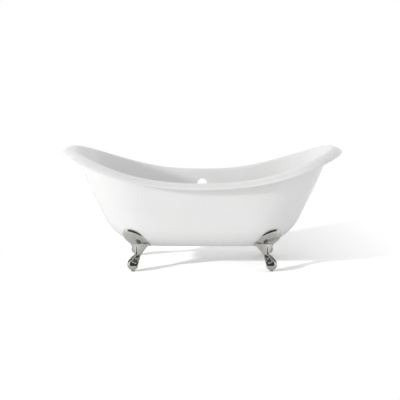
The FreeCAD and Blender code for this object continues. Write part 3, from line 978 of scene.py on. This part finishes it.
def make_world():
    """Soft light, most of it from low down. Gloss shows a white studio with a dark room in front."""
    world = bpy.data.worlds.new("studio")
    bpy.context.scene.world = world
    world.use_nodes = True
    nodes, links = world.node_tree.nodes, world.node_tree.links
    direction = nodes.new("ShaderNodeTexCoord").outputs["Generated"]
    ambient = nodes["Background"]
    ambient.inputs["Color"].default_value = (1, 1, 1, 1)
    height = split_axes(nodes, links, direction)["Z"]
    glow = ramp(nodes, links, height, GLOW_LOW, GLOW_HIGH, GLOW_START, GLOW_STOP)
    links.new(glow, ambient.inputs["Strength"])
    white = nodes.new("ShaderNodeBackground")
    white.inputs["Color"].default_value = (1, 1, 1, 1)
    slope = nodes.new("ShaderNodeVectorMath")
    slope.operation = "DOT_PRODUCT"
    slope.inputs[1].default_value = ROOM_DIRECTION
    links.new(direction, slope.inputs[0])
    room = nodes.new("ShaderNodeBackground")
    shade = ramp(nodes, links, slope.outputs["Value"], (1.0,) * 3, (ROOM,) * 3, ROOM_START, ROOM_STOP)
    links.new(shade, room.inputs["Color"])
    path = nodes.new("ShaderNodeLightPath").outputs
    mirrored = add_up(nodes, links, [path["Is Glossy Ray"], path["Is Transmission Ray"]])
    soft = mix(nodes, links, mirrored, ambient.outputs["Background"], room.outputs["Background"])
    seen = mix(nodes, links, path["Is Camera Ray"], soft, white.outputs["Background"])
    links.new(seen, nodes["World Output"].inputs["Surface"])


# The floor's colour, and the brighter one that it is seen with
FLOOR_COLOUR = 0.72
FLOOR_EXPOSURE = 1.26

# Where the floor's shadow fades to plain white: round the tub, flatter in depth, and in front of it
FADE_START = 0.62
FADE_STOP = 1.35
FADE_DEPTH_SHARE = 0.35
FRONT_FADE_START = -0.26
FRONT_FADE_STOP = -0.44

# Where the floor turns to the dark room's level towards the camera, seen in gloss only: a painted dark
# reflection for the metal
GLOSS_DARK_EDGE = -1.6
GLOSS_DARK_BLUR = 0.2


def floor_material():
    """White paper. Seen directly it is exposed to white, and far from the tub the shadow fades out.

    Gloss shows it unexposed near the tub and white further off. Past a line towards the camera it is dark,
    a painted dark reflection for the metal.
    """
    material, shader, nodes, links = new_material("paper_floor")
    nodes.remove(shader)
    path = nodes.new("ShaderNodeLightPath").outputs
    place = nodes.new("ShaderNodeTexCoord").outputs["Object"]
    depth = split_axes(nodes, links, place)["Y"]
    plain = nodes.new("ShaderNodeBsdfDiffuse")
    plain.inputs["Color"].default_value = (FLOOR_COLOUR,) * 3 + (1,)
    bright = nodes.new("ShaderNodeBsdfDiffuse")
    bright.inputs["Color"].default_value = (FLOOR_EXPOSURE,) * 3 + (1,)
    near = mix(nodes, links, path["Is Camera Ray"], plain.outputs["BSDF"], bright.outputs["BSDF"])
    # Painted dark reflection: towards the camera the floor turns dark in gloss only, while the camera still
    # sees it white
    gloss_level = ramp(nodes, links, depth, ROOM, 1.0, GLOSS_DARK_EDGE - GLOSS_DARK_BLUR, GLOSS_DARK_EDGE)
    far = nodes.new("ShaderNodeEmission")
    level = calculate(nodes, links, "MAXIMUM", gloss_level, path["Is Camera Ray"])
    links.new(level, far.inputs["Strength"])
    squash = nodes.new("ShaderNodeVectorMath")
    squash.operation = "MULTIPLY"
    squash.inputs[1].default_value = (1, FADE_DEPTH_SHARE, 0)
    links.new(place, squash.inputs[0])
    reach = nodes.new("ShaderNodeVectorMath")
    reach.operation = "LENGTH"
    links.new(squash.outputs["Vector"], reach.inputs[0])
    around = ramp(nodes, links, reach.outputs["Value"], 0.0, 1.0, FADE_START, FADE_STOP)
    front = ramp(nodes, links, depth, 1.0, 0.0, FRONT_FADE_STOP, FRONT_FADE_START)
    front_seen = calculate(nodes, links, "MULTIPLY", front, path["Is Camera Ray"])
    fade = add_up(nodes, links, [around, front_seen])
    shown = mix(nodes, links, fade, near, far.outputs["Emission"])
    rays = [path[name] for name in ("Is Camera Ray", "Is Glossy Ray", "Is Transmission Ray")]
    surface = mix(nodes, links, add_up(nodes, links, rays), plain.outputs["BSDF"], shown)
    links.new(surface, nodes["Material Output"].inputs["Surface"])
    return material


FLOOR_HALF_SIZE = 120.0


def make_floor():
    bm = bmesh.new()
    bmesh.ops.create_grid(bm, x_segments=1, y_segments=1, size=FLOOR_HALF_SIZE)
    floor = new_object("floor", mesh_from("floor", bm))
    floor.data.materials.append(floor_material())
    return floor


# The point that the lamps are aimed at, and the key's place and size, in degrees and metres
LAMP_AIM = (0, 0, 0.4)
KEY = {"azimuth": -58, "elevation": 17, "distance": 14.0, "width": 0.8, "height": 0.8}
KEY_POWER = 580
FLOOR_KEY_POWER = 1185


def make_lamp(name, azimuth, elevation, distance, width, height, power):
    """A lamp aimed at the tub. Azimuth 0 is the camera's side, 90 the right."""
    data = bpy.data.lights.new(name, "AREA")
    data.shape = "RECTANGLE"
    data.size = width
    data.size_y = height
    data.energy = power
    lamp = bpy.data.objects.new(name, data)
    bpy.context.scene.collection.objects.link(lamp)
    turn, rise = math.radians(azimuth), math.radians(elevation)
    back = Vector((math.sin(turn) * math.cos(rise), -math.cos(turn) * math.cos(rise), math.sin(rise)))
    lamp.location = Vector(LAMP_AIM) + back * distance
    lamp.rotation_mode = "QUATERNION"
    lamp.rotation_quaternion = (-back).to_track_quat("-Z", "Y")
    return lamp


def light_only(lamp, item):
    """Keeps a lamp's light to one object."""
    receivers = bpy.data.collections.new(f"{lamp.name}_receivers")
    receivers.objects.link(item)
    lamp.light_linking.receiver_collection = receivers


def make_lamps(floor):
    """A key, the same again for the floor alone, and a tall strip for the metal's streaks."""
    key = make_lamp("key", power=KEY_POWER, **KEY)
    key.visible_glossy = False
    floor_key = make_lamp("floor_key", power=FLOOR_KEY_POWER, **KEY)
    floor_key.visible_glossy = False
    light_only(floor_key, floor)
    strip = make_lamp("strip", azimuth=-88, elevation=14, distance=3.5, width=0.2, height=1.6, power=3)
    strip.visible_diffuse = False


# The photograph's camera: lens and axis in pixels, place in metres, how far it looks down in degrees
PHOTO_PIXELS = 400
FOCAL_PIXELS = 1169.8
AXIS_PIXELS = -2.13
CAMERA_DISTANCE = 7.5
CAMERA_HEIGHT = 1.693
CAMERA_PITCH = 9.645
VIEW_END = 500


def make_camera():
    """The photograph's view: square frame, with the optical axis a little right of its middle."""
    data = bpy.data.cameras.new("camera")
    data.sensor_fit = "HORIZONTAL"
    data.lens = FOCAL_PIXELS / PHOTO_PIXELS * data.sensor_width
    data.shift_x = AXIS_PIXELS / PHOTO_PIXELS
    data.clip_end = VIEW_END
    camera = bpy.data.objects.new("camera", data)
    camera.location = (0, -CAMERA_DISTANCE, CAMERA_HEIGHT)
    camera.rotation_euler = (math.radians(90 - CAMERA_PITCH), 0, 0)
    bpy.context.scene.collection.objects.link(camera)
    bpy.context.scene.camera = camera


# The object, dressed


def dress(item, material, body, slot, *nodes):
    """Gives a new piece its material and body, in place of CAD nodes."""
    item.data.materials.clear()
    item.data.materials.append(material)
    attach(item, body)
    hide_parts(*nodes)


def repaint(kind, material):
    """A better material for the CAD nodes of one kind."""
    for corner in CORNERS:
        for material_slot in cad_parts[f"{kind}_{corner}"].material_slots:
            material_slot.material = material


nickel = nickel_material()
zinc = zinc_material()
dress(make_tub(), enamel_material(), "tub", "enamel", "tub_shell")
for corner, foot in make_feet().items():
    dress(foot, nickel, "tub", "nickel", f"claw_foot_{corner}")
for corner, signs in CORNERS.items():
    dress(make_screw(corner, signs), zinc, f"leveller_{corner}", "steel", f"levelling_screw_{corner}")
for kind in ("foot_stud", "foot_washer", "foot_nut"):
    repaint(kind, zinc)
repaint("glide_pad", nylon_material())

make_world()
make_lamps(make_floor())
make_camera()
bpy.context.scene.view_settings.view_transform = "Standard"
